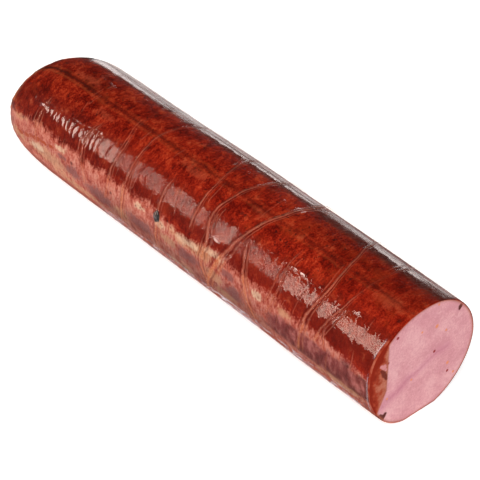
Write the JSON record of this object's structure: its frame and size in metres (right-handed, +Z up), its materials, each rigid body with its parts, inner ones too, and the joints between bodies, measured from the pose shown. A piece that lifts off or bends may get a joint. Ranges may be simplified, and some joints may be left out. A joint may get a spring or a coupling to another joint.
{
  "type": "smoked ham log",
  "caption": "Round smoked ham log in clear shrink film, one end blunt and rounded, the other cut flat to show the pink meat.",
  "frame": {"origin": "middle of the object's length and width, on the surface that it lies on", "axes": "+X along the log towards the cut face, +Z up, -Y towards the side with the pale unsmoked zone"},
  "size_m": [0.405, 0.0945, 0.091],
  "materials": {
    "smoked_meat": "smoked red-brown skin with a moist pink cut face",
    "clear_film": "tight glossy clear shrink film with raised folds"
  },
  "bodies": {
    "root": {"ham": "smoked_meat", "film": "clear_film"}
  },
  "joints": []
}
